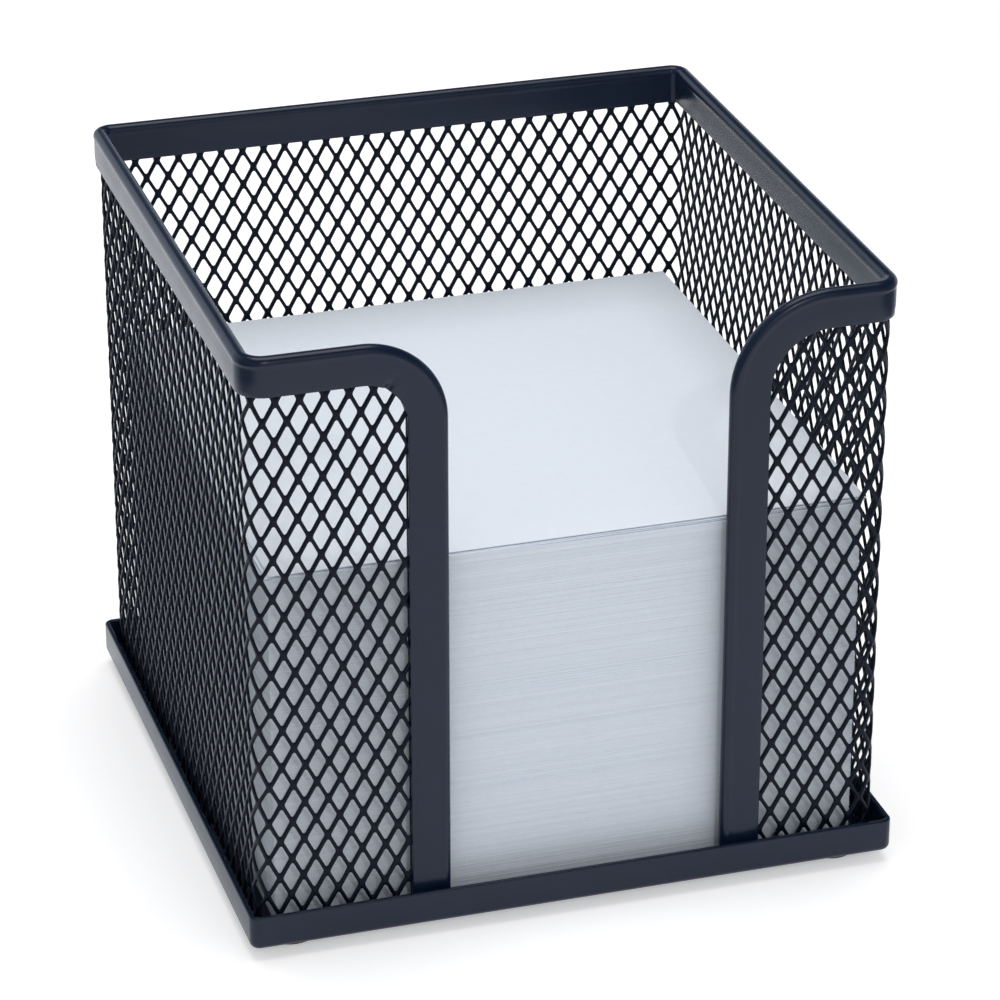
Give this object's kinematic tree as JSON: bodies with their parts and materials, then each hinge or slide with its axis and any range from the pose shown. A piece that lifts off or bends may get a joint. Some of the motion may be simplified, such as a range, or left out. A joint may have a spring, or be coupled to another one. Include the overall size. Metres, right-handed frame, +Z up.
{
  "type": "memo box",
  "caption": "Square open-topped memo box: coated steel mesh walls on a pressed tray, a folded edge round the rim and front finger slot, rubber feet, and a stack of loose white notes inside.",
  "frame": {"origin": "on the surface that the box stands on, under the middle of the tray", "axes": "+Z up, -Y towards the finger slot in the front, +X to the right as seen from the front"},
  "size_m": [0.1, 0.1, 0.0948],
  "materials": {
    "black_coated_steel": "satin powder coat, blue black",
    "foot_rubber": "matt black",
    "note_paper": "uncoated white"
  },
  "bodies": {
    "box": {"base_tray": "black_coated_steel", "mesh_left": "black_coated_steel", "mesh_back": "black_coated_steel", "mesh_right": "black_coated_steel", "mesh_front_left": "black_coated_steel", "mesh_front_right": "black_coated_steel", "mesh_corner_front_left": "black_coated_steel", "mesh_corner_front_right": "black_coated_steel", "mesh_corner_back_left": "black_coated_steel", "mesh_corner_back_right": "black_coated_steel", "rim_left": "black_coated_steel", "rim_back": "black_coated_steel", "rim_right": "black_coated_steel", "front_edge_left": "black_coated_steel", "front_edge_right": "black_coated_steel", "foot_front_left": "foot_rubber", "foot_front_right": "foot_rubber", "foot_back_left": "foot_rubber", "foot_back_right": "foot_rubber"},
    "notes": {"note_stack": "note_paper", "loose_note_1": "note_paper", "loose_note_2": "note_paper", "loose_note_3": "note_paper", "loose_note_4": "note_paper", "loose_note_5": "note_paper"},
    "top_note": {"top_note": "note_paper"}
  },
  "joints": [
    {"name": "notes_lift", "type": "slide", "parent": "box", "child": "notes", "axis": [0, 0, 1], "range_m": [0, 0.1]},
    {"name": "top_note_lift", "type": "slide", "parent": "notes", "child": "top_note", "axis": [0, 0, 1], "range_m": [0, 0.06]}
  ]
}
